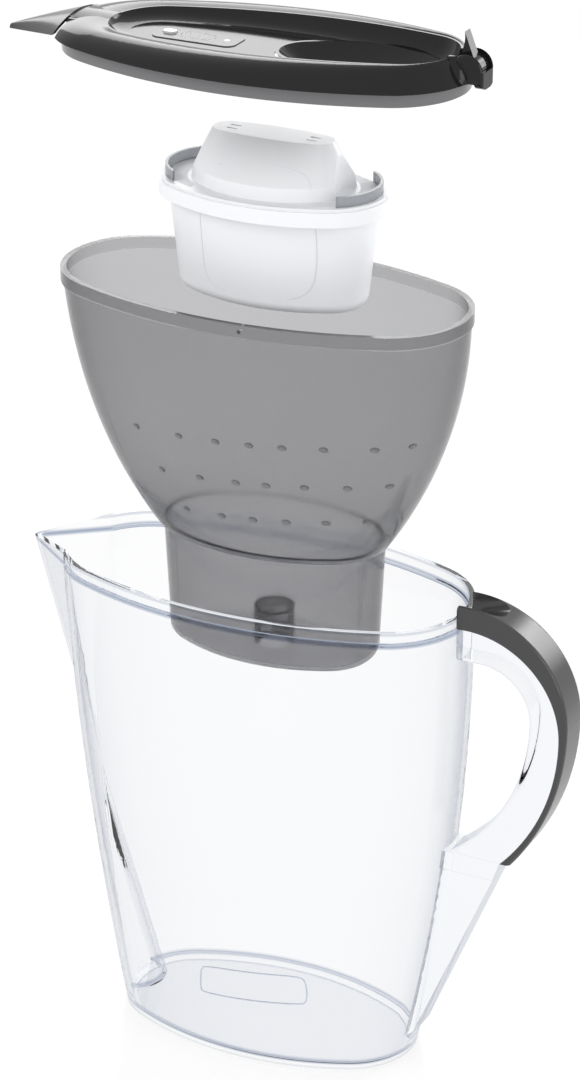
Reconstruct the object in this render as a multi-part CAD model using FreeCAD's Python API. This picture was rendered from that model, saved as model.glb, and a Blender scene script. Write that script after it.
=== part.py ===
import FreeCAD, Part
import math
import os
from FreeCAD import Vector

# Water filter pitcher, taken apart along its height: jug, funnel, cartridge and lid.
# Millimetres. The origin is under the jug, +Z is up, +X points to the handle, the spout is at -X.
# Every piece is modelled where it sits in use and is then raised by its own lift.

# Lifts of the pieces that are taken apart
funnel_lift = 144.8
cartridge_lift = 307.4
lid_lift = 257.2

# Clearances
fit_gap = 0.5
seat_gap = 0.3
joint_gap = 0.1
pin_gap = 0.05
overcut = 1.0

# Jug
rim_height = 246.0
rim_half_length = 105.0
rim_half_width = 54.5
waist_height = 105.0
waist_end_inset = 10.0
waist_side_inset = 4.0
waist_centre = 3.0
base_end_inset = 27.3
base_side_inset = 10.0
base_centre = 2.5
jug_end_share = 0.78
jug_wall = 2.4
floor_thickness = 3.0
foot_depth = 1.4
foot_width = 5.0
ledge_depth = 6.5
ledge_width = 1.2
ledge_height = 1.5

# Spout and the flute under it
spout_reach = 25.0
spout_half_width = 28.0
spout_tip_radius = 4.0
spout_tip_drop = 7.4
spout_dip_length = 34.0
spout_apex_height = 119.0
flute_radius = 14.0

# Handle loop, tail and grip, seen from the side
handle_half_width = 10.0
loop_depth = 36.0
loop_bend_height = 198.5
loop_top_radius = 25.7
loop_leg_radius = 95.0
loop_edge_radius = 3.0
core_depth = 15.5
core_bend_height = 193.0
core_top_growth = 22.3
core_leg_growth = 9.0
grip_depth = 3.7
grip_bend_height = 199.0
grip_top_growth = 5.6
grip_leg_growth = 21.0
grip_root_angle = 97.0
grip_tip_height = 122.0
grip_edge_radius = 2.2
groove_corner = 6.0
groove_run = 16.7
groove_end_height = 249.3
tail_half_width = 9.0
tail_top_height = 112.0
tail_top_depth = 20.0
tail_foot_half_width = 12.0
tail_foot_height = 14.0
tail_foot_proud = 4.0

# Funnel
funnel_wall = 1.7
bowl_inset = 1.2
bowl_upper_height = 193.0
bowl_upper_end_inset = 12.0
bowl_upper_side_inset = 6.5
bowl_upper_centre = 1.7
bowl_lower_height = 158.0
bowl_lower_end_inset = 25.5
bowl_lower_side_inset = 11.0
bowl_lower_centre = 2.6
bowl_end_share = 0.76
shoulder_height = 124.0
well_depth = 60.0
well_taper = 3.0
well_edge_radius = 7.0
outlet_post_radius = 9.7
outlet_post_height = 20.0
outlet_radius = 4.0
pip_radius = 0.9
pip_x = 12.5

# Cartridge
cartridge_centre = 4.8
flange_half_length = 55.6
flange_half_width = 34.0
flange_end_radius = 27.0
flange_height = 7.0
flange_overlap = 1.6
cup_inset = 4.6
cup_taper = 5.0
cup_depth = 46.0
cup_wall = 1.5
cup_edge_radius = 6.0
dome_height = 23.0
dome_half_length = 40.0
dome_half_width = 27.0
dome_end_radius = 20.0
dome_lip_height = 6.0
dome_lip_inset = 1.2
dome_top_half_length = 30.0
dome_top_half_width = 9.0
dome_top_end_radius = 7.0
dome_wall = 1.6
scoop_radius = 19.0
scoop_depth = 7.0
cap_plate = 1.5
ring_height = 5.0
ring_wall = 1.4
ring_inset = 3.0
ring_half_gap = 41.0
screen_thickness = 0.8
outlet_slot_width = 2.0
outlet_slot_length = 14.0
outlet_slot_pitch = 6.0
outlet_slot_rows = 4
vent_length = 5.5
vent_width = 1.2
vent_spacing = 40.0
vent_pitch = 4.4

# Lid
cover_wall = 4.6
cover_crown = 4.6
cover_crown_inset = 4.0
crest_height = 7.8
crest_end_inset = 19.0
crest_side_inset = 21.5
crest_end_share = 0.76
crest_centre = 9.0
crest_slope = 0.03
valley_depth = 6.6
valley_rim = 1.0
valley_slope = 9.0
deck_length = 32.6
deck_drop = 1.0
skirt_wall = 1.6
fill_front = 7.0
fill_width_share = 0.727
fill_end_share = 0.667
fill_end_inset = 14.0
flap_wall = 1.6
flap_depth = 8.0
flap_rise = 1.2
flap_slope = 9.0
cap_radius = 6.0
cap_half_width = 5.2
cheek_wall = 2.0
cheek_edge_radius = 3.0
swell_half_length = 30.0
swell_foot_half_width = 24.0
swell_half_width = 17.0
swell_top_half_length = 25.0
swell_top_half_width = 10.0
swell_end_share = 0.77
swell_rise = 6.5
swell_inset = 1.0
hood_wall = 1.4
hood_drop = 2.5
hinge_back = 3.6
hinge_rise = 5.5
hinge_pin_radius = 1.5
hinge_hub_radius = 3.4
fin_reach = 17.0
fin_tip_back = 2.4
fin_half_width = 2.8
fin_front = 13.4
fin_rear_angle = 70.0
seam_inset = 12.4
seam_gap = 2.2
beak_reach = 25.5
beak_half_width = 25.0
beak_rise = 5.8
beak_clearance = 0.5
beak_tip_rise = 2.0
beak_tip_half_width = 1.7
beak_wall = 1.7
beak_axis_rise = 3.9
beak_pin_radius = 0.7
beak_barrel_radius = 1.3
beak_barrel_half_width = 9.0
beak_ear_width = 3.0

# Change indicator in the lid
indicator_centre = -33.0
bezel_length = 42.0
bezel_width = 17.0
bezel_thickness = 1.6
bezel_corner = 4.5
bezel_proud = 0.4
case_length = 38.0
case_width = 13.0
case_depth = 6.4
case_wall = 1.0
button_length = 6.4
button_width = 4.6
button_offset = 14.4
button_proud = 0.9
button_travel = 0.8
window_length = 17.0
window_width = 9.0
window_thickness = 0.8
display_thickness = 0.6
lamp_radius = 1.6
lamp_offset = 14.6
board_thickness = 1.0
cell_radius = 4.2
cell_thickness = 1.6
back_thickness = 0.9

# Sizes, heights and places that follow
waist_half_length = rim_half_length - waist_end_inset
waist_half_width = rim_half_width - waist_side_inset
base_half_length = rim_half_length - base_end_inset
base_half_width = rim_half_width - base_side_inset
rim_end_radius = rim_half_width * jug_end_share
waist_end_radius = waist_half_width * jug_end_share
base_end_radius = base_half_width * jug_end_share
loop_reach = rim_half_length + loop_depth
core_top_radius = loop_top_radius + core_top_growth
core_leg_radius = loop_leg_radius + core_leg_growth
grip_top_radius = core_top_radius + grip_top_growth
grip_leg_radius = core_leg_radius + grip_leg_growth
core_reach = loop_reach + core_depth
grip_reach = core_reach + grip_depth
tail_top_reach = rim_half_length + tail_top_depth
bowl_upper_half_length = rim_half_length - bowl_upper_end_inset
bowl_upper_half_width = rim_half_width - bowl_upper_side_inset
bowl_lower_half_length = rim_half_length - bowl_lower_end_inset
bowl_lower_half_width = rim_half_width - bowl_lower_side_inset
crest_half_length = rim_half_length - crest_end_inset
crest_half_width = rim_half_width - crest_side_inset
crest_end_radius = crest_half_width * crest_end_share
fill_half_length = (rim_half_length - fill_end_inset - fill_front) / 2
fill_half_width = crest_half_width * fill_width_share
fill_end_radius = fill_half_width * fill_end_share
fill_centre = fill_front + fill_half_length
ledge_top = rim_height - ledge_depth
seat_height = shoulder_height + funnel_wall
flange_bottom = seat_height + seat_gap
flange_top = flange_bottom + flange_height
cup_bottom = flange_bottom - cup_depth
well_bottom = shoulder_height - well_depth
cover_edge_height = rim_height + seat_gap
crown_height = cover_edge_height + cover_crown
crest_top = cover_edge_height + crest_height
valley_floor = crest_top - valley_depth
hinge_x = rim_half_length - hinge_back
hinge_z = rim_height + hinge_rise
seam_x = seam_inset - rim_half_length
deck_end = seam_x + deck_length
beak_axis_x = seam_x - seam_gap / 4
beak_axis_z = cover_edge_height + beak_axis_rise
beak_root_bottom = cover_edge_height + beak_clearance
hood_back = hinge_x + cap_radius + fit_gap + hood_wall
hood_bottom = rim_height - hood_drop
groove_end_reach = hood_back + groove_run
slot_half = cap_half_width + fit_gap
cheek_half = slot_half + cheek_wall
hinge_pin_half = slot_half + cheek_wall / 2
high = rim_height + rim_half_length


class Oval:
    """Level outline of two end arcs joined by two tangent side arcs."""

    def __init__(self, half_length, half_width, end_radius, centre=0.0):
        self.half_length = half_length
        self.half_width = half_width
        self.end_radius = end_radius
        self.centre = centre

    def inset(self, distance):
        return Oval(self.half_length - distance, self.half_width - distance,
                    self.end_radius - distance, self.centre)

    def wire(self, z, slope=0.0):
        reach = self.half_length - self.end_radius
        rise = self.half_width - self.end_radius
        drop = (reach * reach - rise * rise) / (2 * rise)
        side_radius = self.half_width + drop
        turn = math.atan2(reach, drop)
        join_x = side_radius * math.sin(turn)
        join_y = side_radius * math.cos(turn) - drop

        def at(x, y):
            return Vector(self.centre + x, y, z + slope * (self.centre + x))

        return Part.Wire([
            Part.Arc(at(-join_x, join_y), at(0, self.half_width), at(join_x, join_y)).toShape(),
            Part.Arc(at(join_x, join_y), at(self.half_length, 0), at(join_x, -join_y)).toShape(),
            Part.Arc(at(join_x, -join_y), at(0, -self.half_width), at(-join_x, -join_y)).toShape(),
            Part.Arc(at(-join_x, -join_y), at(-self.half_length, 0), at(-join_x, join_y)).toShape(),
        ])

    def prism(self, bottom, top):
        return Part.Face(self.wire(bottom)).extrude(Vector(0, 0, top - bottom))


def loft(sections):
    """Smooth solid through outlines, each with its height and, where it isn't level, its slope."""
    return Part.makeLoft([outline.wire(*place) for outline, *place in sections], True, False)


def box(x0, x1, half_width, z0, z1):
    """Box centred on the XZ plane."""
    return Part.makeBox(x1 - x0, 2 * half_width, z1 - z0, Vector(x0, -half_width, z0))


def rod(radius, half_width, x, z):
    """Cylinder along Y, centred on the XZ plane."""
    return Part.makeCylinder(radius, 2 * half_width, Vector(x, -half_width, z), Vector(0, 1, 0))


def post(radius, x, z0, z1):
    """Upright cylinder on the XZ plane."""
    return Part.makeCylinder(radius, z1 - z0, Vector(x, 0, z0))


def stadium(length, width, x, z0, z1):
    """Upright plate with round ends along X."""
    radius = width / 2
    reach = length / 2 - radius
    ends = [post(radius, x - reach, z0, z1), post(radius, x + reach, z0, z1)]
    return box(x - reach, x + reach, radius, z0, z1).fuse(ends).removeSplitter()


def tile(length, width, corner, x, z0, z1):
    """Upright plate with rounded corners."""
    plate = box(x - length / 2, x + length / 2, width / 2, z0, z1)
    upright = [edge for edge in plate.Edges if edge.BoundBox.ZLength > (z1 - z0) / 2]
    return plate.makeFillet(corner, upright)


def side(x, z):
    """Point in the XZ plane."""
    return Vector(x, 0, z)


def line(start, end):
    return Part.LineSegment(start, end).toShape()


def polygon(corners):
    return [line(a, b) for a, b in zip(corners, corners[1:] + corners[:1])]


def slab(edges, half_width):
    """Outline in the XZ plane, thickened evenly to both sides."""
    face = Part.Face(Part.Wire(edges))
    face.translate(Vector(0, -half_width, 0))
    return face.extrude(Vector(0, 2 * half_width, 0))


def bend(reach, height, radius, angle):
    """Point at an angle on the circle whose outermost point is (reach, height)."""
    turn = math.radians(angle)
    return side(reach - radius + radius * math.cos(turn), height + radius * math.sin(turn))


def arc(reach, height, radius, start, end):
    """Arc between two angles on that circle."""
    points = [bend(reach, height, radius, angle) for angle in (start, (start + end) / 2, end)]
    return Part.Arc(*points).toShape()


def angle_at(height, bend_height, radius):
    return math.degrees(math.asin((height - bend_height) / radius))


def round_arcs(solid, reach, radius):
    """Round the arcs with an outermost reach on both flat sides of the handle."""
    def wanted(edge):
        on_side = all(abs(abs(v.Y) - handle_half_width) < pin_gap for v in edge.Vertexes)
        at_reach = abs(edge.BoundBox.XMax - reach) < pin_gap
        return on_side and at_reach and isinstance(edge.Curve, Part.Circle)

    return solid.makeFillet(radius, [edge for edge in solid.Edges if wanted(edge)])


def trough(bottom_line, half_width, corner, top):
    """Form with rounded lower edges, from a bottom line seen from the side up to a height."""
    ends = [side(bottom_line[-1].x, top), side(bottom_line[0].x, top)]
    solid = slab(polygon(bottom_line + ends), half_width)

    def wanted(edge):
        start, end = edge.Vertexes
        return abs(start.Y - end.Y) < pin_gap and max(start.Z, end.Z) < top - pin_gap

    return solid.makeFillet(corner, [edge for edge in solid.Edges if wanted(edge)])


rim = Oval(rim_half_length, rim_half_width, rim_end_radius)
waist = Oval(waist_half_length, waist_half_width, waist_end_radius, waist_centre)
base = Oval(base_half_length, base_half_width, base_end_radius, base_centre)
spout_tip_x = -rim_half_length - spout_reach


def jug_form(distance, bottom=0.0):
    """The jug's outer form, narrowed all round by a distance."""
    return loft([
        (base.inset(distance), bottom),
        (waist.inset(distance), waist_height),
        (rim.inset(distance), rim_height),
    ])


def front_wall(height):
    """Front of the jug at a height between the waist and the rim."""
    share = (height - waist_height) / (rim_height - waist_height)
    waist_front = waist_centre - waist_half_length
    return waist_front - share * (rim_half_length + waist_front)


def spout_form(distance):
    """Half cone from the rim down to its apex on the front wall, narrowed by a distance."""
    root_x = rim_end_radius - rim_half_length - math.sqrt(rim_end_radius ** 2 - spout_half_width ** 2)
    half_angle = math.atan2(spout_half_width, root_x - spout_tip_x)
    tip_x = spout_tip_x + distance / math.sin(half_angle)
    root_half = spout_half_width - distance / math.cos(half_angle)
    round_back = tip_x + spout_tip_radius * (1 / math.sin(half_angle) - math.sin(half_angle))
    round_front = tip_x + spout_tip_radius * (1 / math.sin(half_angle) - 1)
    round_half = spout_tip_radius * math.cos(half_angle)

    def at(x, y):
        return Vector(x, y, rim_height)

    far_root = at(root_x + overcut, root_half)
    near_root = at(root_x + overcut, -root_half)
    far_round = at(round_back, round_half)
    near_round = at(round_back, -round_half)
    outline = Part.Wire([
        line(far_root, far_round),
        Part.Arc(far_round, at(round_front, 0), near_round).toShape(),
        line(near_round, near_root),
        line(near_root, far_root),
    ])
    apex = Vector(front_wall(spout_apex_height) + distance + overcut, 0, spout_apex_height)
    return Part.makeLoft([outline, Part.Vertex(apex)], True, True)


def flute_form(distance):
    """Inward half cone from under the spout down to the floor, widened by a distance."""
    foot_x = base_centre - base_half_length
    foot = Part.Wire(Part.makeCircle(flute_radius + distance, Vector(foot_x, 0, floor_thickness)))
    apex = Vector(front_wall(spout_apex_height) + distance, 0, spout_apex_height)
    return Part.makeLoft([foot, Part.Vertex(apex)], True, True)


def spout_dip():
    """What is cut away above the rim where it dips to the spout's tip."""
    slope = spout_tip_drop / spout_dip_length
    start_x = spout_tip_x + spout_dip_length
    end_x = spout_tip_x - spout_reach
    return slab(polygon([
        side(start_x, rim_height),
        side(end_x, rim_height - slope * (start_x - end_x)),
        side(end_x, rim_height + spout_reach),
        side(start_x, rim_height + spout_reach),
    ]), rim_half_width)


def make_pitcher_body():
    outside = jug_form(0).fuse(spout_form(0)).cut(flute_form(0))
    inside = jug_form(jug_wall, floor_thickness).fuse(spout_form(jug_wall)).cut(flute_form(jug_wall))
    ledge_bottom = ledge_top - ledge_height
    ledge = rim.inset(jug_wall / 2).prism(ledge_bottom, ledge_top)
    ledge = ledge.cut(rim.inset(jug_wall + ledge_width).prism(ledge_bottom, ledge_top))
    ledge = ledge.cut(spout_form(jug_wall))
    foot = base.inset(foot_width).prism(-overcut, foot_depth)
    return outside.cut(inside).fuse(ledge).cut(spout_dip()).cut(foot).removeSplitter()


def lid_groove():
    """Groove along the top of the grip for the lid's rear end."""
    bottom = hood_bottom - fit_gap
    bottom_line = [
        side(0, bottom),
        side(hood_back + fit_gap, bottom),
        side(groove_end_reach, groove_end_height),
    ]
    return trough(bottom_line, cheek_half + fit_gap, groove_corner + fit_gap, high)


def make_handle():
    inner_x = waist_centre
    upright = 90.0
    top = bend(core_reach, core_bend_height, core_top_radius, grip_root_angle)
    tip_angle = angle_at(grip_tip_height, core_bend_height, core_leg_radius)
    tip = bend(core_reach, core_bend_height, core_leg_radius, tip_angle)
    tail_top = side(tail_top_reach, tail_top_height)
    loop = slab([
        line(side(inner_x, top.z), top),
        arc(core_reach, core_bend_height, core_top_radius, grip_root_angle, 0),
        arc(core_reach, core_bend_height, core_leg_radius, 0, tip_angle),
        line(tip, tail_top),
        line(tail_top, side(inner_x, tail_top_height)),
        line(side(inner_x, tail_top_height), side(inner_x, top.z)),
    ], handle_half_width)
    hole_top = bend(loop_reach, loop_bend_height, loop_top_radius, upright)
    hole_angle = angle_at(grip_tip_height, loop_bend_height, loop_leg_radius)
    hole_tip = bend(loop_reach, loop_bend_height, loop_leg_radius, hole_angle)
    hole = slab([
        line(side(inner_x, hole_top.z), hole_top),
        arc(loop_reach, loop_bend_height, loop_top_radius, upright, 0),
        arc(loop_reach, loop_bend_height, loop_leg_radius, 0, hole_angle),
        line(hole_tip, side(inner_x, grip_tip_height)),
        line(side(inner_x, grip_tip_height), side(inner_x, hole_top.z)),
    ], handle_half_width)
    loop = round_arcs(loop.cut(hole), loop_reach, loop_edge_radius)
    foot_reach = base_centre + base_half_length + tail_foot_proud
    tail = Part.makeLoft([
        tail_outline(tail_top_reach, tail_half_width, tail_top_height),
        tail_outline(foot_reach, tail_foot_half_width, tail_foot_height),
    ], True, True)
    return loop.fuse(tail).cut(jug_form(-joint_gap)).removeSplitter()


def tail_outline(reach, half_width, z):
    corners = [Vector(0, -half_width, z), Vector(reach, -half_width, z),
               Vector(reach, half_width, z), Vector(0, half_width, z)]
    return Part.Wire(polygon(corners))


def make_handle_grip():
    outer_end = angle_at(grip_tip_height, grip_bend_height, grip_leg_radius)
    outer_root = bend(grip_reach, grip_bend_height, grip_top_radius, grip_root_angle)
    outer_tip = bend(grip_reach, grip_bend_height, grip_leg_radius, outer_end)
    inner_reach = core_reach + joint_gap
    inner_top_radius = core_top_radius + joint_gap
    inner_leg_radius = core_leg_radius + joint_gap
    inner_end = angle_at(grip_tip_height, core_bend_height, inner_leg_radius)
    inner_root = bend(inner_reach, core_bend_height, inner_top_radius, grip_root_angle)
    inner_tip = bend(inner_reach, core_bend_height, inner_leg_radius, inner_end)
    grip = slab([
        arc(grip_reach, grip_bend_height, grip_top_radius, grip_root_angle, 0),
        arc(grip_reach, grip_bend_height, grip_leg_radius, 0, outer_end),
        line(outer_tip, inner_tip),
        arc(inner_reach, core_bend_height, inner_leg_radius, inner_end, 0),
        arc(inner_reach, core_bend_height, inner_top_radius, 0, grip_root_angle),
        line(inner_root, outer_root),
    ], handle_half_width)
    grip = round_arcs(grip, grip_reach, grip_edge_radius)
    return grip.cut(rim.inset(-joint_gap).prism(grip_tip_height, high)).cut(lid_groove())


band = rim.inset(jug_wall + fit_gap)
band_bottom = ledge_top + seat_gap
bowl_top = band.inset(bowl_inset)
bowl_upper = Oval(bowl_upper_half_length, bowl_upper_half_width,
                  bowl_upper_half_width * bowl_end_share, bowl_upper_centre)
bowl_lower = Oval(bowl_lower_half_length, bowl_lower_half_width,
                  bowl_lower_half_width * bowl_end_share, bowl_lower_centre)
flange = Oval(flange_half_length, flange_half_width, flange_end_radius, cartridge_centre)
shoulder = flange.inset(-fit_gap - funnel_wall)
well = flange.inset(flange_overlap - funnel_wall)
outlet_post_top = well_bottom + outlet_post_height


def bowl_form(distance, bottom):
    return loft([
        (shoulder.inset(distance), bottom),
        (bowl_lower.inset(distance), bowl_lower_height),
        (bowl_upper.inset(distance), bowl_upper_height),
        (bowl_top.inset(distance), band_bottom),
    ])


def tub_form(top_outline, top, bottom_outline, bottom, edge_radius):
    """Tapered solid with a rounded bottom edge."""
    solid = loft([(bottom_outline, bottom), (top_outline, top)])
    edges = [edge for edge in solid.Edges if edge.BoundBox.ZMax < bottom + pin_gap]
    return solid.makeFillet(edge_radius, edges)


def make_funnel():
    outside = bowl_form(0, shoulder_height).fuse([
        band.prism(band_bottom, rim_height),
        tub_form(well, seat_height, well.inset(well_taper), well_bottom, well_edge_radius),
    ])
    inside = bowl_form(funnel_wall, seat_height).fuse([
        bowl_top.inset(funnel_wall).prism(band_bottom, rim_height),
        tub_form(well.inset(funnel_wall), seat_height, well.inset(well_taper + funnel_wall),
                 well_bottom + funnel_wall, well_edge_radius - funnel_wall),
    ])
    stub = post(outlet_post_radius, cartridge_centre, well_bottom, outlet_post_top)
    bore_top = outlet_post_top - funnel_wall
    bore = post(outlet_post_radius - funnel_wall, cartridge_centre, well_bottom, bore_top)
    outlet_z = well_bottom + well_edge_radius + outlet_radius
    outlet = rod(outlet_radius, outlet_post_radius, cartridge_centre, outlet_z)
    pip_z = (band_bottom + rim_height) / 2
    near_wall = jug_wall + fit_gap + bowl_inset + funnel_wall + overcut
    pip_start = Vector(pip_x, -rim_half_width, pip_z)
    pip_hole = Part.makeCylinder(pip_radius, near_wall, pip_start, Vector(0, 1, 0))
    return outside.cut(inside).fuse(stub).cut(bore).cut(outlet).cut(pip_hole).removeSplitter()


cup_top_outline = flange.inset(cup_inset)
cup_foot_outline = cup_top_outline.inset(cup_taper)
recess_radius = outlet_post_radius + 2 * fit_gap
recess_top = outlet_post_top + 2 * fit_gap
dome = Oval(dome_half_length, dome_half_width, dome_end_radius, cartridge_centre)
dome_crown = Oval(dome_top_half_length, dome_top_half_width, dome_top_end_radius, cartridge_centre)
ring = flange.inset(ring_inset)
plate_top = flange_top + cap_plate


def cup_inside(distance, bottom):
    """Room inside the cup, narrowed by a distance, around the recess for the outlet post."""
    room = tub_form(cup_top_outline.inset(distance), flange_bottom, cup_foot_outline.inset(distance),
                    bottom, cup_edge_radius - distance)
    tunnel = post(recess_radius + distance, cartridge_centre, cup_bottom, recess_top + distance)
    return room.cut(tunnel)


def outlet_slots():
    """Rows of slots through the cup's bottom, on both sides of the recess."""
    slots = []
    for way in (-1, 1):
        middle = cartridge_centre + way * (recess_radius + outlet_slot_length)
        for row in range(outlet_slot_rows):
            y = (row - (outlet_slot_rows - 1) / 2) * outlet_slot_pitch
            x = middle - outlet_slot_length / 2
            corner = Vector(x, y - outlet_slot_width / 2, cup_bottom - overcut)
            depth = cup_wall + 2 * overcut
            slots.append(Part.makeBox(outlet_slot_length, outlet_slot_width, depth, corner))
    return slots


def make_cartridge_cup():
    outside = tub_form(cup_top_outline, flange_bottom, cup_foot_outline, cup_bottom, cup_edge_radius)
    outside = outside.fuse(flange.prism(flange_bottom, flange_top))
    mouth = cup_top_outline.inset(cup_wall).prism(flange_bottom, flange_top)
    recess = post(recess_radius, cartridge_centre, cup_bottom, recess_top)
    cup = outside.cut(cup_inside(cup_wall, cup_bottom + cup_wall).fuse(mouth)).cut(recess)
    return cup.cut(outlet_slots()).removeSplitter()


def end_windows(distance):
    """The two crescents of the cap between the dome and the finger rings, narrowed by a distance."""
    window = ring.inset(ring_wall + distance).prism(flange_top, plate_top)
    window = window.cut(dome.inset(-cap_plate - distance).prism(flange_top, plate_top))
    half = dome_half_length - dome_end_radius / 2 + distance
    return window.cut(box(cartridge_centre - half, cartridge_centre + half, flange_half_width,
                          flange_top, plate_top))


def dome_room():
    """Room inside the dome, clear of the scoops at its ends."""
    reach = dome_half_length - scoop_depth - dome_wall
    dome_top = plate_top + dome_height - dome_wall
    room = loft([(dome.inset(dome_wall), plate_top), (dome_crown.inset(dome_wall), dome_top)])
    room = room.fuse(dome.inset(dome_wall).prism(flange_top, plate_top))
    return room.common(box(cartridge_centre - reach, cartridge_centre + reach, dome_half_width,
                           flange_top, dome_top))


def make_cartridge_cap():
    dome_top = plate_top + dome_height
    plate = flange.inset(overcut).prism(flange_top, plate_top)
    form = Part.makeLoft([
        dome.wire(plate_top),
        dome.inset(dome_lip_inset).wire(plate_top + dome_lip_height),
        dome_crown.wire(dome_top),
    ], True, True)
    cap = plate.fuse(form).cut(dome_room())
    scoop_x = dome_half_length - scoop_depth + scoop_radius
    vent_bottom = dome_top - 2 * dome_wall
    for way in (-1, 1):
        cap = cap.cut(post(scoop_radius, cartridge_centre + way * scoop_x, plate_top, dome_top + overcut))
        vent = stadium(vent_length, vent_width, cartridge_centre + way * vent_spacing / 2,
                       vent_bottom, dome_top + overcut)
        for row in (-1, 1):
            cap = cap.cut(vent.translated(Vector(0, row * vent_pitch / 2, 0)))
    return cap.cut(end_windows(0)).removeSplitter()


def make_finger_rings():
    ring_top = plate_top + ring_height
    wall = ring.prism(plate_top, ring_top).cut(ring.inset(ring_wall).prism(plate_top, ring_top))
    return wall.cut(box(cartridge_centre - ring_half_gap, cartridge_centre + ring_half_gap,
                        flange_half_width, plate_top, ring_top))


def make_inlet_screens():
    window = end_windows(pin_gap)
    return window.common(flange.prism(plate_top - screen_thickness, plate_top))


def make_outlet_screen():
    bottom = cup_bottom + cup_wall
    inside = cup_inside(cup_wall + joint_gap, bottom)
    return inside.common(flange.prism(bottom, bottom + screen_thickness))


def make_filter_media():
    bottom = cup_bottom + cup_wall + screen_thickness
    inside = cup_inside(cup_wall + joint_gap, cup_bottom + cup_wall)
    return inside.common(flange.prism(bottom, flange_bottom))


cover_edge = rim.inset(jug_wall)
cover_crown_outline = cover_edge.inset(cover_crown_inset)
crest = Oval(crest_half_length, crest_half_width, crest_end_radius, crest_centre)
fill_opening = Oval(fill_half_length, fill_half_width, fill_end_radius, fill_centre)
skirt = bowl_top.inset(funnel_wall + fit_gap)
bezel_top = valley_floor + bezel_proud
case_top = bezel_top - bezel_thickness
case_bottom = case_top - case_depth
button_x = indicator_centre - button_offset
lamp_x = indicator_centre + lamp_offset


def cover_form(distance):
    """The cover's outer form, narrowed and lowered by a distance."""
    return loft([
        (cover_edge.inset(distance), cover_edge_height),
        (cover_crown_outline.inset(distance), crown_height - distance / 2, crest_slope / 2),
        (crest.inset(distance), crest_top - distance, crest_slope),
    ])


def valley_form(distance):
    """The valley on top of the cover, widened and deepened by a distance."""
    foot = crest.inset(valley_rim - distance + valley_slope)
    flank = crest.inset(valley_rim - distance + valley_slope / 3)
    brim = crest.inset(valley_rim - distance)
    return loft([
        (foot, valley_floor - distance),
        (flank, valley_floor + valley_depth / 3 - distance, crest_slope / 3),
        (brim, crest_top, crest_slope),
        (brim, crest_top + crest_height, crest_slope),
    ])


def front_deck():
    """Crowned front of the cover, in line with the beak."""
    return Part.makeLoft([
        beak_section(seam_x, beak_half_width, beak_root_bottom, beak_root_bottom + beak_rise),
        beak_section(deck_end, beak_half_width, beak_root_bottom, beak_root_bottom + beak_rise - deck_drop),
    ], True, True)


def hinge_housing():
    """Two cheeks and a hood round the rear end of the filling flap."""
    outer_radius = hood_back - hinge_x
    front_x = hinge_x - 2 * outer_radius
    roof = hinge_z + 2 * outer_radius
    block = rod(outer_radius, cheek_half, hinge_x, hinge_z)
    rims = [edge for edge in block.Edges if edge.Closed]
    block = block.makeFillet(cheek_edge_radius, rims)
    block = block.cut(box(front_x, hood_back, rim_half_width, 0, cover_edge_height))
    hood = box(rim_half_length + fit_gap, hood_back, cheek_half, hood_bottom, hinge_z)
    corners = [edge for edge in hood.Edges
               if edge.BoundBox.XMin > hood_back - pin_gap and edge.BoundBox.YLength < pin_gap]
    block = block.fuse(hood.makeFillet(cheek_edge_radius, corners))
    block = block.common(trough([side(front_x, hood_bottom), side(hood_back, hood_bottom)],
                                cheek_half, groove_corner, roof))
    room = rod(cap_radius + fit_gap, slot_half, hinge_x, hinge_z)
    front = box(fill_centre, hinge_x + cap_radius / 2, slot_half, cover_edge_height, hinge_z)
    above = box(fill_centre, hood_back, slot_half, hinge_z, roof)
    return block, room.fuse([front, above])


def rear_swell():
    """Swelling of the cover's rear end, which carries the hinge pin on both sides of the tail."""
    centre = rim_half_length - swell_inset - swell_half_length

    def level(half_length, half_width):
        return Oval(half_length, half_width, half_width * swell_end_share, centre)

    return loft([
        (level(swell_half_length, swell_foot_half_width), cover_edge_height),
        (level(swell_half_length - swell_inset, swell_half_width), hinge_z),
        (level(swell_top_half_length, swell_top_half_width), hinge_z + swell_rise),
    ])


def make_lid_cover():
    cover = cover_form(0).fuse(front_deck()).fuse(rear_swell()).cut(valley_form(0))
    cover = cover.cut(cover_form(cover_wall).cut(valley_form(cover_wall)))
    housing, room = hinge_housing()
    cover = cover.fuse(housing).cut(room)
    cover = cover.cut(fill_opening.prism(0, high))
    cover = cover.cut(stadium(case_length + 2 * joint_gap, case_width + 2 * joint_gap,
                              indicator_centre, 0, high))
    cover = cover.cut(tile(bezel_length + 2 * joint_gap, bezel_width + 2 * joint_gap,
                           bezel_corner + joint_gap, indicator_centre, case_top, high))
    cover = cover.cut(box(2 * spout_tip_x, seam_x, rim_half_width, cover_edge_height, high))
    cover = cover.cut(rod(beak_barrel_radius + seat_gap, beak_barrel_half_width + seat_gap,
                          beak_axis_x, beak_axis_z))
    cover = cover.fuse(beak_ears(beak_barrel_radius, 0))
    cover = cover.cut(rod(beak_pin_radius + pin_gap, rim_half_width, beak_axis_x, beak_axis_z))
    pin_hole = rod(hinge_pin_radius + pin_gap, hinge_pin_half + pin_gap, hinge_x, hinge_z)
    return cover.cut(pin_hole).removeSplitter()


def beak_ears(radius, growth):
    """Two ears beside the beak's barrel, or with growth the room for them."""
    inner = beak_barrel_half_width + seat_gap - growth
    outer = beak_barrel_half_width + seat_gap + beak_ear_width + growth
    ears = rod(radius, outer, beak_axis_x, beak_axis_z)
    back = box(beak_axis_x, seam_x + 2 * radius, outer, beak_axis_z - radius, beak_axis_z + radius)
    gap = box(beak_axis_x - 2 * radius, seam_x + 2 * radius, inner,
              beak_axis_z - 2 * radius, beak_axis_z + 2 * radius)
    return ears.fuse(back).cut(gap)


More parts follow.
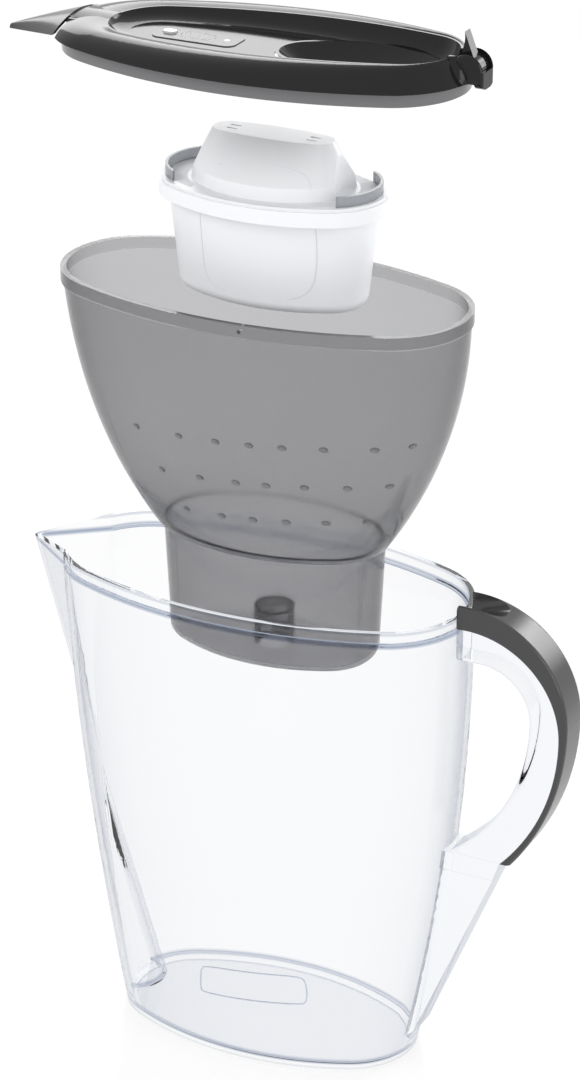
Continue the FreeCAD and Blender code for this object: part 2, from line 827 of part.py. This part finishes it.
def make_lid_skirt():
    inside = skirt.inset(skirt_wall).prism(ledge_top, cover_edge_height)
    return skirt.prism(ledge_top, cover_edge_height).cut(inside)


def beak_section(x, half_width, bottom, top):
    near = Vector(x, -half_width, bottom)
    far = Vector(x, half_width, bottom)
    return Part.Wire([line(near, far), Part.Arc(far, Vector(x, 0, top), near).toShape()])


def make_pour_flap():
    root_x = seam_x - seam_gap
    tip_x = -rim_half_length - beak_reach
    slope = spout_tip_drop / spout_dip_length
    tip_bottom = beak_root_bottom - slope * (root_x - tip_x)
    middle_x = (root_x + tip_x) / 2
    middle_bottom = (beak_root_bottom + tip_bottom) / 2
    middle_half = (beak_half_width + beak_tip_half_width) / 2
    middle_rise = (beak_rise + beak_tip_rise) / 2 + beak_clearance
    outside = Part.makeLoft([
        beak_section(root_x, beak_half_width, beak_root_bottom, beak_root_bottom + beak_rise),
        beak_section(middle_x, middle_half, middle_bottom, middle_bottom + middle_rise),
        beak_section(tip_x, beak_tip_half_width, tip_bottom, tip_bottom + beak_tip_rise),
    ], True, False)
    inside = Part.makeLoft([
        beak_section(root_x, beak_half_width - 2 * beak_wall, beak_root_bottom,
                     beak_root_bottom + beak_rise - beak_wall),
        beak_section(middle_x, middle_half - 2 * beak_wall, middle_bottom,
                     middle_bottom + middle_rise - beak_wall),
    ], True, True)
    barrel = rod(beak_barrel_radius, beak_barrel_half_width, beak_axis_x, beak_axis_z)
    web = box(root_x - beak_wall, beak_axis_x, beak_barrel_half_width,
              beak_axis_z - beak_barrel_radius, beak_axis_z + beak_barrel_radius)
    flap = outside.cut(inside).cut(beak_ears(beak_barrel_radius + seat_gap, seat_gap)).fuse([barrel, web])
    return flap.cut(rod(beak_pin_radius + pin_gap, rim_half_width, beak_axis_x, beak_axis_z)).removeSplitter()


def make_pour_flap_pin():
    return rod(beak_pin_radius, beak_barrel_half_width + seat_gap + beak_ear_width, beak_axis_x, beak_axis_z)


def make_fill_flap():
    outline = fill_opening.inset(fit_gap)
    top = valley_floor + flap_rise
    middle = top - flap_depth / 2
    dish = loft([
        (outline.inset(flap_slope), top - flap_depth),
        (outline.inset(flap_slope / 3), middle),
        (outline, top),
    ])
    hollow = loft([
        (outline.inset(flap_slope + flap_wall), top - flap_depth + flap_wall),
        (outline.inset(flap_slope / 3 + flap_wall), middle + flap_wall),
        (outline.inset(flap_wall), top),
    ])
    cap = rod(cap_radius, cap_half_width, hinge_x, hinge_z)
    cap = cap.cut(box(0, hinge_x + 2 * cap_radius, rim_half_width, 0, hinge_z))
    hub = rod(hinge_hub_radius, cap_half_width, hinge_x, hinge_z)
    neck_front = fill_centre + outline.half_length - 2 * flap_wall
    neck_rear = hinge_x - hinge_hub_radius / 2
    neck = box(neck_front, neck_rear, cap_half_width, cover_edge_height + seat_gap, hinge_z)
    tip = side(hinge_x - fin_tip_back, hinge_z + fin_reach)
    front = side(hinge_x - fin_front, hinge_z)
    rear = bend(hinge_x + cap_radius, hinge_z, cap_radius, fin_rear_angle)
    fin_bow = side((front.x + tip.x) / 2 + fin_half_width, (front.z + tip.z) / 2 - fin_half_width)
    fin = slab([
        Part.Arc(front, fin_bow, tip).toShape(),
        line(tip, rear),
        line(rear, side(hinge_x, hinge_z)),
        line(side(hinge_x, hinge_z), front),
    ], fin_half_width)
    flap = dish.cut(hollow).fuse([cap, hub, neck, fin])
    return flap.cut(rod(hinge_pin_radius + pin_gap, rim_half_width, hinge_x, hinge_z)).removeSplitter()


def make_fill_flap_pin():
    return rod(hinge_pin_radius, hinge_pin_half, hinge_x, hinge_z)


def make_indicator_case():
    outside = stadium(case_length, case_width, indicator_centre, case_bottom, case_top)
    inside = stadium(case_length - 2 * case_wall, case_width - 2 * case_wall, indicator_centre,
                     case_bottom - overcut, case_top + overcut)
    return outside.cut(inside)


def make_indicator_bezel():
    plate = tile(bezel_length, bezel_width, bezel_corner, indicator_centre, case_top, bezel_top)
    low = case_top - overcut
    high = bezel_top + overcut
    return plate.cut([
        stadium(button_length + 2 * seat_gap, button_width + 2 * seat_gap, button_x, low, high),
        stadium(window_length, window_width, indicator_centre, low, high),
        post(lamp_radius, lamp_x, low, high),
    ])


def make_indicator_window():
    return stadium(window_length - 2 * joint_gap, window_width - 2 * joint_gap, indicator_centre,
                   bezel_top - window_thickness, bezel_top)


def make_indicator_display():
    top = bezel_top - window_thickness
    return stadium(window_length - 2 * joint_gap, window_width - 2 * joint_gap, indicator_centre,
                   top - display_thickness, top)


def make_indicator_button():
    foot = case_top - button_travel
    return stadium(button_length, button_width, button_x, foot, bezel_top + button_proud)


def make_indicator_lamp():
    return post(lamp_radius - joint_gap, lamp_x, case_top, bezel_top)


board_top = case_top - 2 * button_travel - seat_gap
board_bottom = board_top - board_thickness
inner_length = case_length - 2 * case_wall - 2 * joint_gap
inner_width = case_width - 2 * case_wall - 2 * joint_gap


def make_indicator_board():
    return stadium(inner_length, inner_width, indicator_centre, board_bottom, board_top)


def make_indicator_cell():
    bottom = case_bottom + back_thickness
    return post(cell_radius, indicator_centre, bottom, bottom + cell_thickness)


def make_indicator_back():
    return stadium(inner_length, inner_width, indicator_centre, case_bottom, case_bottom + back_thickness)


parts = {
    "pitcher_body": (make_pitcher_body(), 0),
    "handle": (make_handle(), 0),
    "handle_grip": (make_handle_grip(), 0),
    "funnel": (make_funnel(), funnel_lift),
    "cartridge_cup": (make_cartridge_cup(), cartridge_lift),
    "cartridge_cap": (make_cartridge_cap(), cartridge_lift),
    "finger_rings": (make_finger_rings(), cartridge_lift),
    "inlet_screens": (make_inlet_screens(), cartridge_lift),
    "outlet_screen": (make_outlet_screen(), cartridge_lift),
    "filter_media": (make_filter_media(), cartridge_lift),
    "lid_cover": (make_lid_cover(), lid_lift),
    "lid_skirt": (make_lid_skirt(), lid_lift),
    "pour_flap": (make_pour_flap(), lid_lift),
    "pour_flap_pin": (make_pour_flap_pin(), lid_lift),
    "fill_flap": (make_fill_flap(), lid_lift),
    "fill_flap_pin": (make_fill_flap_pin(), lid_lift),
    "indicator_case": (make_indicator_case(), lid_lift),
    "indicator_bezel": (make_indicator_bezel(), lid_lift),
    "indicator_window": (make_indicator_window(), lid_lift),
    "indicator_display": (make_indicator_display(), lid_lift),
    "indicator_button": (make_indicator_button(), lid_lift),
    "indicator_lamp": (make_indicator_lamp(), lid_lift),
    "indicator_board": (make_indicator_board(), lid_lift),
    "indicator_cell": (make_indicator_cell(), lid_lift),
    "indicator_back": (make_indicator_back(), lid_lift),
}

os.makedirs("parts", exist_ok=True)
for name, (shape, lift) in parts.items():
    placed = shape.copy()
    placed.translate(Vector(0, 0, lift))
    placed.exportStep("parts/%s.step" % name)
    print(name, placed.isValid(), len(placed.Solids), round(placed.Volume), placed.BoundBox)
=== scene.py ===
from math import cos, radians, sin

import bmesh
import bpy
from mathutils import Matrix, Vector


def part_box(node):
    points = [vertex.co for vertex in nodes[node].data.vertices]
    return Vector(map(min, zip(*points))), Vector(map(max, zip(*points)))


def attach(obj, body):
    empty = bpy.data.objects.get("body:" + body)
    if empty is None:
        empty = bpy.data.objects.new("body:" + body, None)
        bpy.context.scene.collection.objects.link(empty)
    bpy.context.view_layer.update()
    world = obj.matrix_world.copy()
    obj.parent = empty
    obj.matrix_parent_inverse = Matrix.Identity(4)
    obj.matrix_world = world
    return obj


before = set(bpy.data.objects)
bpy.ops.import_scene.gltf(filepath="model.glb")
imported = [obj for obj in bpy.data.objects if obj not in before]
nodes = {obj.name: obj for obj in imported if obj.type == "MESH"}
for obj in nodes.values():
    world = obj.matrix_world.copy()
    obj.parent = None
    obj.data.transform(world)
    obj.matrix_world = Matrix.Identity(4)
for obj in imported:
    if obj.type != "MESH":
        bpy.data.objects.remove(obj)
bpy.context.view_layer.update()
MM = 0.001

# Finish of moulded plastic, noise scales per metre
FLOW_SCALE = 35.0
GRAIN_SCALE = 900.0
GRAIN_SHARE = 0.3
TONE_SCALE = 14.0
RELIEF_DEPTH = 0.5 * MM

# Colour sockets of a Mix node that is set to RGBA
MIX_FACTOR, MIX_FIRST, MIX_SECOND = 0, 6, 7
MIX_RESULT = 2

WHITE = (1.0, 1.0, 1.0)


# Shared effects
def add_math(tree, operation, *feeds):
    """Math node fed by numbers or sockets; gives its output socket."""
    node = tree.nodes.new("ShaderNodeMath")
    node.operation = operation
    for socket, feed in zip(node.inputs, feeds):
        if isinstance(feed, float):
            socket.default_value = feed
        else:
            tree.links.new(feed, socket)
    return node.outputs[0]


def new_group(name, inputs, outputs):
    """Shader node group with named number inputs and outputs."""
    group = bpy.data.node_groups.new(name, "ShaderNodeTree")
    for label, value in inputs:
        socket = group.interface.new_socket(label, in_out="INPUT", socket_type="NodeSocketFloat")
        socket.default_value = value
    for label in outputs:
        group.interface.new_socket(label, in_out="OUTPUT", socket_type="NodeSocketFloat")
    return group, group.nodes.new("NodeGroupInput"), group.nodes.new("NodeGroupOutput")


def add_noise(group, scale, detail):
    """Noise on the piece's own coordinates."""
    coords = group.nodes.new("ShaderNodeTexCoord")
    noise = group.nodes.new("ShaderNodeTexNoise")
    noise.inputs["Scale"].default_value = scale
    noise.inputs["Detail"].default_value = detail
    group.links.new(coords.outputs["Object"], noise.inputs["Vector"])
    return noise.outputs["Fac"]


def make_moulding_group():
    """Faint flow marks and fine grain of moulded plastic: roughness and bump height."""
    group, feed, result = new_group(
        "moulding", [("Roughness", 0.1), ("Spread", 0.05)], ["Roughness", "Height"])
    flow = add_noise(group, FLOW_SCALE, 2.0)
    grain = add_noise(group, GRAIN_SCALE, 3.0)
    centred = add_math(group, "SUBTRACT", flow, 0.5)
    roughness = add_math(group, "MULTIPLY_ADD", centred, feed.outputs["Spread"], feed.outputs["Roughness"])
    height = add_math(group, "MULTIPLY_ADD", grain, GRAIN_SHARE, flow)
    group.links.new(roughness, result.inputs["Roughness"])
    group.links.new(height, result.inputs["Height"])
    return group


def make_tone_group():
    """Slow change of tone over a piece, as a factor around one."""
    group, feed, result = new_group("tone", [("Depth", 0.05)], ["Tone"])
    cloud = add_noise(group, TONE_SCALE, 2.0)
    centred = add_math(group, "SUBTRACT", cloud, 0.5)
    factor = add_math(group, "MULTIPLY_ADD", centred, feed.outputs["Depth"], 1.0)
    group.links.new(factor, result.inputs["Tone"])
    return group


moulding = make_moulding_group()
tone = make_tone_group()


# Materials
def plastic(name, colour, roughness, spread, depth, bump, **sockets):
    """Moulded plastic: toned colour, uneven gloss, faint flow marks.

    Roughness varies by spread and the colour by depth; bump is the relief's strength, and other
    sockets of the shader are given by name.
    """
    material = bpy.data.materials.new(name)
    material.use_nodes = True
    tree = material.node_tree
    shader = tree.nodes["Principled BSDF"]
    surface = tree.nodes.new("ShaderNodeGroup")
    surface.node_tree = moulding
    surface.inputs["Roughness"].default_value = roughness
    surface.inputs["Spread"].default_value = spread
    shade = tree.nodes.new("ShaderNodeGroup")
    shade.node_tree = tone
    shade.inputs["Depth"].default_value = depth
    tint = tree.nodes.new("ShaderNodeVectorMath")
    tint.operation = "SCALE"
    tint.inputs[0].default_value = colour
    relief = tree.nodes.new("ShaderNodeBump")
    relief.inputs["Strength"].default_value = bump
    relief.inputs["Distance"].default_value = RELIEF_DEPTH
    tree.links.new(shade.outputs["Tone"], tint.inputs["Scale"])
    tree.links.new(tint.outputs[0], shader.inputs["Base Color"])
    tree.links.new(surface.outputs["Roughness"], shader.inputs["Roughness"])
    tree.links.new(surface.outputs["Height"], relief.inputs["Height"])
    tree.links.new(relief.outputs[0], shader.inputs["Normal"])
    for label, value in sockets.items():
        shader.inputs[label.replace("_", " ")].default_value = value
    return material


def base_colour(material):
    """The shader's colour socket and what feeds it."""
    socket = material.node_tree.nodes["Principled BSDF"].inputs["Base Color"]
    return socket, socket.links[0].from_socket


def split_axes(tree, vector):
    split = tree.nodes.new("ShaderNodeSeparateXYZ")
    tree.links.new(vector, split.inputs[0])
    return split.outputs


def upright_share(tree):
    """One on upright walls, falling to zero on level faces."""
    normal = tree.nodes.new("ShaderNodeNewGeometry").outputs["Normal"]
    level = add_math(tree, "ABSOLUTE", split_axes(tree, normal)["Z"])
    return add_math(tree, "SUBTRACT", 1.0, level)


def paint_edge_shade(material, colour, power, walls_only=False):
    """Painted shade: blend the colour towards a darker one where the surface turns away from the viewer, as
    the edges of glass look.
    """
    tree = material.node_tree
    base, source = base_colour(material)
    facing = tree.nodes.new("ShaderNodeLayerWeight")
    facing.inputs["Blend"].default_value = 0.5
    share = add_math(tree, "POWER", facing.outputs["Facing"], power)
    if walls_only:
        share = add_math(tree, "MULTIPLY", share, upright_share(tree))
    blend = tree.nodes.new("ShaderNodeMix")
    blend.data_type = "RGBA"
    blend.inputs[MIX_SECOND].default_value = (*colour, 1.0)
    tree.links.new(share, blend.inputs[MIX_FACTOR])
    tree.links.new(source, blend.inputs[MIX_FIRST])
    tree.links.new(blend.outputs[MIX_RESULT], base)


def paint_band_shade(material, height, colour, bands, ease=0.5):
    """Painted shade: multiply the colour by a darker one in level bands; heights in millimetres."""
    tree = material.node_tree
    base, source = base_colour(material)
    place = tree.nodes.new("ShaderNodeTexCoord").outputs["Object"]
    level = tree.nodes.new("ShaderNodeMapRange")
    level.inputs["From Max"].default_value = height * MM
    ramp = tree.nodes.new("ShaderNodeValToRGB")
    stops = ramp.color_ramp.elements
    for stop in stops:
        stop.color = (*WHITE, 1.0)
    for low, high in bands:
        for at, shade in ((low - ease, WHITE), (low, colour), (high, colour), (high + ease, WHITE)):
            if 0.0 < at < height:
                stops.new(at / height).color = (*shade, 1.0)
    product = tree.nodes.new("ShaderNodeVectorMath")
    product.operation = "MULTIPLY"
    tree.links.new(split_axes(tree, place)["Z"], level.inputs["Value"])
    tree.links.new(level.outputs[0], ramp.inputs[0])
    tree.links.new(source, product.inputs[0])
    tree.links.new(ramp.outputs["Color"], product.inputs[1])
    tree.links.new(product.outputs[0], base)


def add_absorption(material, colour, density):
    """Tint that deepens with the thickness of the plastic."""
    tree = material.node_tree
    volume = tree.nodes.new("ShaderNodeVolumeAbsorption")
    volume.inputs["Color"].default_value = (*colour, 1.0)
    volume.inputs["Density"].default_value = density
    tree.links.new(volume.outputs[0], tree.nodes["Material Output"].inputs["Volume"])


# Clear and smoke plastic
jug_height = 246.0
# Heights of painted shade bands: the base's double line and the rim's lines
jug_shade_bands = [(0.1, 0.7), (3.7, 4.5), (238.2, 239.2), (245.2, 245.9)]

clear_jug = plastic(
    "clear jug plastic", (0.99, 0.99, 0.995), 0.02, spread=0.01, depth=0.01, bump=0.01,
    Transmission_Weight=1.0, IOR=1.2, Specular_IOR_Level=0.5)
# Painted shade: darker edges where the jug's walls turn away from the viewer
paint_edge_shade(clear_jug, (0.10, 0.15, 0.25), 2.7, walls_only=True)
# Painted shade: darker bands at the jug's rim and base heights
paint_band_shade(clear_jug, jug_height, (0.30, 0.36, 0.48), jug_shade_bands)
add_absorption(clear_jug, (0.20, 0.40, 0.62), 4.0)

clear_handle = plastic(
    "clear handle plastic", (0.99, 0.99, 0.995), 0.03, spread=0.02, depth=0.01, bump=0.01,
    Transmission_Weight=1.0, IOR=1.09, Specular_IOR_Level=0.5)
# Painted shade: darker edges where the handle turns away from the viewer
paint_edge_shade(clear_handle, (0.16, 0.21, 0.31), 2.9)
add_absorption(clear_handle, (0.30, 0.46, 0.68), 4.0)

smoke = plastic(
    "smoke funnel plastic", (0.71, 0.71, 0.718), 0.14, spread=0.06, depth=0.03, bump=0.03,
    Transmission_Weight=1.0, IOR=1.35, Specular_IOR_Level=0.15)
# Painted shade: darker edges where the funnel turns away from the viewer
paint_edge_shade(smoke, (0.13, 0.13, 0.135), 2.8)
add_absorption(smoke, (0.50, 0.50, 0.515), 280.0)

# Dark plastic
smoke_skirt = plastic(
    "smoke skirt plastic", (0.15, 0.15, 0.155), 0.16, spread=0.05, depth=0.08, bump=0.02)
smoke_beak = plastic(
    "smoke beak plastic", (0.032, 0.031, 0.033), 0.16, spread=0.05, depth=0.08, bump=0.02,
    Specular_IOR_Level=0.25)
grip_gloss = plastic(
    "dark grip plastic", (0.042, 0.041, 0.043), 0.20, spread=0.05, depth=0.10, bump=0.02)
lid_gloss = plastic(
    "black lid plastic", (0.012, 0.0115, 0.0125), 0.10, spread=0.03, depth=0.10, bump=0.01,
    Specular_IOR_Level=0.2)

# Cartridge
white_satin = plastic(
    "white cartridge plastic", (0.83, 0.84, 0.86), 0.32, spread=0.08, depth=0.02, bump=0.02)
# Painted shade: raised outlines and creases of the white cartridge in a darker grey
outline_shade = plastic(
    "cartridge outline shade", (0.66, 0.68, 0.72), 0.35, spread=0.08, depth=0.03, bump=0.03)
frosted = plastic(
    "frosted ring plastic", (0.46, 0.48, 0.51), 0.28, spread=0.06, depth=0.05, bump=0.02,
    Transmission_Weight=0.55)
mesh_white = plastic(
    "white screen mesh", (0.80, 0.81, 0.83), 0.6, spread=0.1, depth=0.10, bump=0.2)
granules = plastic(
    "filter granules", (0.06, 0.055, 0.05), 0.8, spread=0.1, depth=0.6, bump=0.8)

# Indicator and pins
bezel_grey = plastic(
    "grey bezel plastic", (0.13, 0.13, 0.133), 0.25, spread=0.05, depth=0.06, bump=0.02,
    Specular_IOR_Level=0.25)
button_white = plastic(
    "white button plastic", (0.70, 0.71, 0.71), 0.3, spread=0.05, depth=0.03, bump=0.02)
window_clear = plastic(
    "indicator window", (0.95, 0.97, 0.96), 0.05, spread=0.02, depth=0.01, bump=0.0,
    Transmission_Weight=1.0, IOR=1.3, Specular_IOR_Level=0.2)
display_green = plastic(
    "display film", (0.17, 0.20, 0.18), 0.5, spread=0.05, depth=0.05, bump=0.02,
    Specular_IOR_Level=0.2)
display_dark = plastic(
    "display bar", (0.012, 0.014, 0.012), 0.4, spread=0.05, depth=0.05, bump=0.02)
lamp_pale = plastic(
    "lamp lens", (0.70, 0.74, 0.70), 0.2, spread=0.04, depth=0.02, bump=0.02,
    Transmission_Weight=0.4)
board_green = plastic(
    "circuit board", (0.02, 0.10, 0.045), 0.4, spread=0.08, depth=0.2, bump=0.05)
steel = plastic(
    "pin steel", (0.55, 0.55, 0.56), 0.3, spread=0.08, depth=0.08, bump=0.03,
    Metallic=1.0)

# Trim
# Painted shade: the dimples are a darker grey than the funnel's own smoke plastic
dimple_shade = plastic(
    "funnel dimple shade", (0.50, 0.50, 0.51), 0.08, spread=0.03, depth=0.05, bump=0.02,
    Transmission_Weight=0.9, IOR=1.5)
plate_line = plastic(
    "bare plate edge", (0.72, 0.77, 0.86), 0.1, spread=0.03, depth=0.02, bump=0.02,
    Transmission_Weight=0.8, IOR=1.3)

finishes = {
    "pitcher_body": clear_jug,
    "handle": clear_handle,
    "handle_grip": grip_gloss,
    "funnel": smoke,
    "cartridge_cup": white_satin,
    "cartridge_cap": white_satin,
    "finger_rings": frosted,
    "inlet_screens": mesh_white,
    "outlet_screen": mesh_white,
    "filter_media": granules,
    "lid_cover": lid_gloss,
    "lid_skirt": smoke_skirt,
    "pour_flap": smoke_beak,
    "pour_flap_pin": steel,
    "fill_flap": lid_gloss,
    "fill_flap_pin": steel,
    "indicator_case": bezel_grey,
    "indicator_bezel": bezel_grey,
    "indicator_window": window_clear,
    "indicator_display": display_green,
    "indicator_button": button_white,
    "indicator_lamp": lamp_pale,
    "indicator_board": board_green,
    "indicator_cell": steel,
    "indicator_back": bezel_grey,
}
for name, material in finishes.items():
    nodes[name].data.materials.clear()
    nodes[name].data.materials.append(material)

# Detail sizes, in millimetres
dimple_half_size = (2.2, 1.5, 0.5)
# Middle height of each row of dimples, and their places along the wall
dimple_rows = {
    330.0: (-47, -22, -2, 15, 31, 50, 72, 86),
    309.6: (-34, -12, 7, 22, 40, 59, 76),
    290.4: (-22, -2, 14, 30, 48, 65),
}
dimple_rise = 0.072
dimple_bow = 0.0002

# Points of the raised lines, as places along and up the wall
plate_outline = [
    (-12, 33), (15, 35.5), (40, 38), (42.5, 40), (43, 46), (42, 53),
    (39, 54.4), (15, 52), (-10, 49.2), (-12.5, 47), (-13.2, 41), (-13.4, 35),
]
panel_outline = [
    (-19.8, 432), (-20, 425), (-19.8, 410), (-19, 402), (-15.5, 396.2), (-5, 394.4), (10, 394.4),
    (24, 395.2), (31.5, 398.5), (35.5, 405), (36.8, 415), (37.2, 425), (37, 432),
]
crease_outline = [
    (-14, 452.6), (-4, 455), (8, 456.2), (18, 456), (26, 454.2), (31, 451.2), (32.2, 447.5),
]
plate_line_radius = 0.35
panel_line_radius = 0.22
crease_line_radius = 0.16

bar_count = 4
bar_first = 3.9
bar_pitch = 3.0
bar_size = (1.9, 5.6, 0.03)
bar_rise = 0.02
bar_bevel = 0.01

NEAR, FAR = -1, 1
SIDES = ((NEAR, "near"), (FAR, "far"))
OUTSIDE = 0.3


# Detail pieces
def add_piece(name, shape, material, body, smooth=True):
    """Object at the origin from a bmesh, riding on a body."""
    mesh = bpy.data.meshes.new(name)
    bmesh.ops.recalc_face_normals(shape, faces=shape.faces)
    shape.to_mesh(mesh)
    shape.free()
    for face in mesh.polygons:
        face.use_smooth = smooth
    mesh.materials.append(material)
    piece = bpy.data.objects.new(name, mesh)
    bpy.context.scene.collection.objects.link(piece)
    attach(piece, body)


def meet_wall(node, x, z, way):
    """Place and outward direction on a node's wall, met along Y from one side; x and z in millimetres."""
    start = Vector((x * MM, way * OUTSIDE, z * MM))
    _, place, normal, _ = nodes[node].ray_cast(start, Vector((0, -way, 0)))
    return place, normal if normal.y * way > 0 else -normal


def scaled(size):
    """Scale matrix from a size in millimetres."""
    return Matrix.Diagonal((*(length * MM for length in size), 1.0))


def add_dimples():
    """Rows of small oval lenses on the near long wall of the funnel, rising towards the handle, a darker grey
    than the funnel as painted shade.
    """
    shape = bmesh.new()
    for level, row in dimple_rows.items():
        for x in row:
            z = level + dimple_rise * x - dimple_bow * x * x
            place, normal = meet_wall("funnel", x, z, NEAR)
            turn = normal.to_track_quat("Z", "Y").to_matrix().to_4x4()
            bmesh.ops.create_uvsphere(
                shape, u_segments=16, v_segments=8, radius=1.0,
                matrix=Matrix.Translation(place) @ turn @ scaled(dimple_half_size))
    add_piece("funnel_dimples", shape, dimple_shade, "funnel")


def add_line(name, node, outline, way, radius, material, body, closed=False):
    """Thin raised line on a node's wall, along a smooth curve through an outline."""
    curve = bpy.data.curves.new(name + "_path", "CURVE")
    curve.dimensions = "3D"
    curve.bevel_depth = radius * MM
    curve.bevel_resolution = 3
    spline = curve.splines.new("NURBS")
    spline.points.add(len(outline) - 1)
    for point, (x, z) in zip(spline.points, outline):
        place, _ = meet_wall(node, x, z, way)
        point.co = (*place, 1.0)
    spline.use_cyclic_u = closed
    spline.use_endpoint_u = not closed
    spline.order_u = 3
    path = bpy.data.objects.new(name + "_path", curve)
    bpy.context.scene.collection.objects.link(path)
    mesh = bpy.data.meshes.new_from_object(path)
    shape = bmesh.new()
    shape.from_mesh(mesh)
    bpy.data.meshes.remove(mesh)
    bpy.data.objects.remove(path)
    bpy.data.curves.remove(curve)
    bmesh.ops.remove_doubles(shape, verts=shape.verts, dist=1e-6)
    add_piece(name, shape, material, body)


def add_bare_plate():
    """Outline of the bare plate low on the jug's near wall."""
    add_line("bare_plate_edge", "pitcher_body", plate_outline, NEAR, plate_line_radius, plate_line, "pitcher",
             closed=True)


def add_cup_panels():
    """Raised U outlines on the cup's long walls, in a darker grey as painted shade."""
    for way, label in SIDES:
        add_line("cup_panel_" + label, "cartridge_cup", panel_outline, way, panel_line_radius, outline_shade,
                 "cartridge")


def add_cap_creases():
    """Soft creases on the cap's long faces, in a darker grey as painted shade."""
    for way, label in SIDES:
        add_line("cap_crease_" + label, "cartridge_cap", crease_outline, way, crease_line_radius, outline_shade,
                 "cartridge")


def add_display_bars():
    """Bars on the display, under the window."""
    low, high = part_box("indicator_display")
    shape = bmesh.new()
    for step in range(bar_count):
        along = low[0] + (bar_first + bar_pitch * step) * MM
        place = Vector((along, 0.0, high[2] + bar_rise * MM))
        bmesh.ops.create_cube(shape, size=1.0, matrix=Matrix.Translation(place) @ scaled(bar_size))
    bmesh.ops.bevel(shape, geom=shape.edges[:], offset=bar_bevel * MM, segments=1, profile=0.5,
                    affect="EDGES", material=-1)
    add_piece("display_bars", shape, display_dark, "lid", smooth=False)


add_dimples()
add_bare_plate()
add_cup_panels()
add_cap_creases()
add_display_bars()

# Stage sizes, in metres
floor_half = 6.0
floor_glow_share = 0.8
world_light = 0.85

# Camera: the photograph's direction, framed at its own scale
camera_azimuth = radians(26.143)
camera_elevation = radians(24.74)
camera_target = Vector((0.01301, 0.0, 0.26395))
camera_distance = 1.77248
camera_lens = 124.8
camera_sensor = 36.0


# Stage
def seen_rays(tree):
    """Light path node, and one for rays that show the background: camera, mirrored and refracted ones."""
    path = tree.nodes.new("ShaderNodeLightPath").outputs
    shown = add_math(tree, "MAXIMUM", path["Is Camera Ray"], path["Is Glossy Ray"])
    return path, add_math(tree, "MAXIMUM", shown, path["Is Transmission Ray"])


def make_floor_material():
    """White floor that takes the object's shadow, and looks plain white through clear plastic."""
    material = bpy.data.materials.new("white floor")
    material.use_nodes = True
    tree = material.node_tree
    shader = tree.nodes["Principled BSDF"]
    shader.inputs["Base Color"].default_value = (0.92, 0.92, 0.925, 1.0)
    shader.inputs["Roughness"].default_value = 0.12
    glow = tree.nodes.new("ShaderNodeEmission")
    glow.inputs["Color"].default_value = (*WHITE, 1.0)
    path, seen = seen_rays(tree)
    share = add_math(tree, "MULTIPLY", seen, floor_glow_share)
    share = add_math(tree, "MAXIMUM", share, path["Is Transmission Ray"])
    blend = tree.nodes.new("ShaderNodeMixShader")
    tree.links.new(share, blend.inputs[0])
    tree.links.new(shader.outputs[0], blend.inputs[1])
    tree.links.new(glow.outputs[0], blend.inputs[2])
    tree.links.new(blend.outputs[0], tree.nodes["Material Output"].inputs["Surface"])
    return material


def make_floor():
    shape = bmesh.new()
    bmesh.ops.create_grid(shape, x_segments=1, y_segments=1, size=floor_half)
    mesh = bpy.data.meshes.new("floor")
    shape.to_mesh(mesh)
    shape.free()
    mesh.materials.append(make_floor_material())
    floor = bpy.data.objects.new("floor", mesh)
    bpy.context.scene.collection.objects.link(floor)


def make_world():
    """Even studio light, plain white where the background shows."""
    world = bpy.data.worlds.new("studio")
    bpy.context.scene.world = world
    world.use_nodes = True
    tree = world.node_tree
    background = tree.nodes["Background"]
    _, seen = seen_rays(tree)
    strength = add_math(tree, "MULTIPLY_ADD", seen, 1.0 - world_light, world_light)
    tree.links.new(strength, background.inputs["Strength"])
    background.inputs["Color"].default_value = (*WHITE, 1.0)


def make_camera():
    lens = bpy.data.cameras.new("camera")
    lens.lens = camera_lens
    lens.sensor_width = camera_sensor
    camera = bpy.data.objects.new("camera", lens)
    ahead = Vector((-sin(camera_azimuth), cos(camera_azimuth), 0.0))
    right = Vector((cos(camera_azimuth), sin(camera_azimuth), 0.0))
    up = ahead * sin(camera_elevation) + Vector((0.0, 0.0, cos(camera_elevation)))
    back = right.cross(up)
    turn = Matrix((right, up, back)).transposed().to_4x4()
    camera.matrix_world = Matrix.Translation(camera_target + back * camera_distance) @ turn
    bpy.context.scene.collection.objects.link(camera)
    bpy.context.scene.camera = camera


def add_softbox(name, place, aim, width, height, power, mirrored=True):
    """Rectangular lamp, in metres and watts, that clear plastic doesn't show and gloss may mirror."""
    lamp = bpy.data.lights.new(name, "AREA")
    lamp.shape = "RECTANGLE"
    lamp.size = width
    lamp.size_y = height
    lamp.energy = power
    box = bpy.data.objects.new(name, lamp)
    box.location = place
    box.rotation_euler = (Vector(aim) - Vector(place)).to_track_quat("-Z", "Y").to_euler()
    box.visible_glossy = mirrored
    box.visible_transmission = False
    bpy.context.scene.collection.objects.link(box)


make_floor()
make_world()
make_camera()
add_softbox("rear_softbox", (-0.75, 1.35, 1.15), (0.0, 0.0, 0.45), 1.3, 0.7, 8.5)
add_softbox("grip_softbox", (0.75, 1.4, 0.8), (0.13, 0.0, 0.2), 0.45, 0.9, 7.0)
add_softbox("key_softbox", (-0.9, -1.1, 1.5), (0.0, 0.0, 0.25), 0.9, 0.9, 10.0, mirrored=False)
add_softbox("front_softbox", (0.9, -1.5, 0.75), (0.0, 0.0, 0.4), 1.2, 1.0, 3.0, mirrored=False)
add_softbox("deck_softbox", (0.7, 1.3, 1.15), (0.0, 0.0, 0.5), 0.7, 0.4, 2.0)
add_softbox("side_softbox", (1.6, -0.2, 0.8), (0.1, 0.0, 0.25), 0.4, 1.2, 5.0)

bpy.context.scene.view_settings.view_transform = "Standard"
